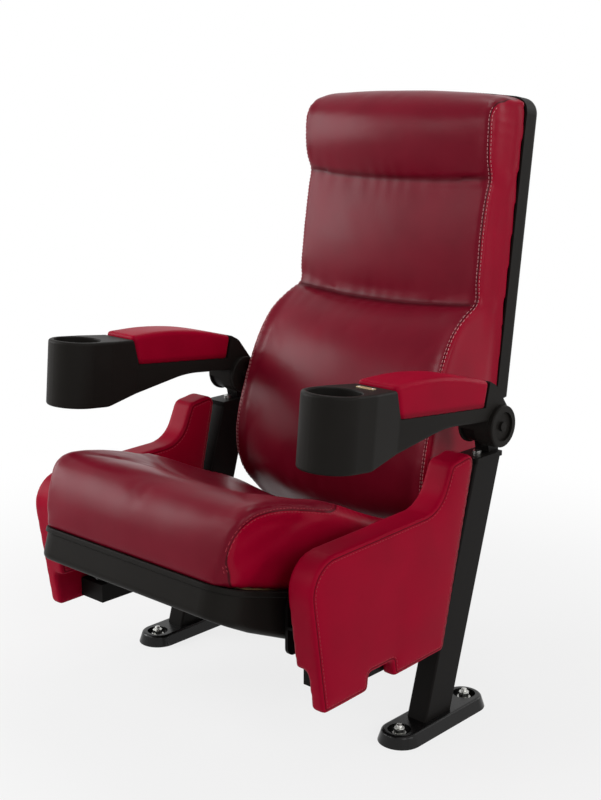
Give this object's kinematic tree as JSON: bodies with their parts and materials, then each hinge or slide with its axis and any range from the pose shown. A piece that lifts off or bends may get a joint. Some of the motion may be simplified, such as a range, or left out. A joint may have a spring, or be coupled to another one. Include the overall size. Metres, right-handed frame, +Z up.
{
  "type": "auditorium rocker chair",
  "caption": "Upholstered cinema chair on floor standards: padded seat and high back rock together on springs, and cup-holder armrests lift about their rear pivots.",
  "frame": {"origin": "on the floor, at the middle of the four anchor holes in the feet", "axes": "+Z up, the sitter faces -Y, +X to the sitter's left"},
  "size_m": [0.712, 0.8131, 1.0642],
  "materials": {
    "cast_foot": "gloss black enamel",
    "painted_steel": "satin black powder coat",
    "black_plastic": "fine grained moulded black",
    "bush_plastic": "natural acetal",
    "crimson_cover": "smooth upholstery cover over foam",
    "burgundy_cover": "smooth upholstery cover over foam",
    "spring_steel": "oiled spring wire",
    "zinc_steel": "zinc plated",
    "buffer_rubber": "moulded rubber",
    "plywood": "raw plywood",
    "plate_brass": "bare satin plate"
  },
  "bodies": {
    "standards": {"left_foot": "cast_foot", "right_foot": "cast_foot", "left_post": "painted_steel", "right_post": "painted_steel", "left_arm_bracket": "painted_steel", "right_arm_bracket": "painted_steel", "left_arm_bush": "bush_plastic", "right_arm_bush": "bush_plastic", "left_outer_panel": "crimson_cover", "right_outer_panel": "crimson_cover", "left_inner_panel": "crimson_cover", "right_inner_panel": "crimson_cover", "left_base_arm": "painted_steel", "right_base_arm": "painted_steel", "left_rocker_bush": "bush_plastic", "right_rocker_bush": "bush_plastic", "left_front_spring": "spring_steel", "right_front_spring": "spring_steel", "left_rear_spring": "spring_steel", "right_rear_spring": "spring_steel", "bracket_screws": "zinc_steel", "panel_screws": "zinc_steel", "rest_buffers": "buffer_rubber", "recline_buffers": "buffer_rubber"},
    "rocker": {"left_rocker_bracket": "painted_steel", "right_rocker_bracket": "painted_steel", "left_rocker_axle": "zinc_steel", "right_rocker_axle": "zinc_steel", "rocker_bolts": "zinc_steel", "seat_frame": "painted_steel", "seat_deck": "plywood", "seat_pan": "black_plastic", "seat_cushion": "burgundy_cover", "left_upright": "painted_steel", "right_upright": "painted_steel", "back_board": "plywood", "back_shell": "black_plastic", "back_cushion": "burgundy_cover", "upright_bolts": "zinc_steel"},
    "left_armrest": {"left_arm": "black_plastic", "left_arm_core": "painted_steel", "left_arm_pad": "crimson_cover", "left_arm_pin": "zinc_steel", "left_pivot_cap": "black_plastic", "number_plate": "plate_brass"},
    "right_armrest": {"right_arm": "black_plastic", "right_arm_core": "painted_steel", "right_arm_pad": "crimson_cover", "right_arm_pin": "zinc_steel", "right_pivot_cap": "black_plastic"}
  },
  "joints": [
    {"name": "rock", "type": "hinge", "parent": "standards", "child": "rocker", "pos_m": [0, -0.13, 0.214], "axis": [-1, 0, 0], "range_deg": [0, 12], "stiffness_Nm_per_rad": 200, "springref_deg": -14.32, "deforming": ["left_front_spring", "right_front_spring", "left_rear_spring", "right_rear_spring"]},
    {"name": "left_arm_lift", "type": "hinge", "parent": "standards", "child": "left_armrest", "pos_m": [0.305, 0.113, 0.514], "axis": [-1, 0, 0], "range_deg": [0, 95]},
    {"name": "right_arm_lift", "type": "hinge", "parent": "standards", "child": "right_armrest", "pos_m": [-0.305, 0.113, 0.514], "axis": [-1, 0, 0], "range_deg": [0, 95]}
  ]
}
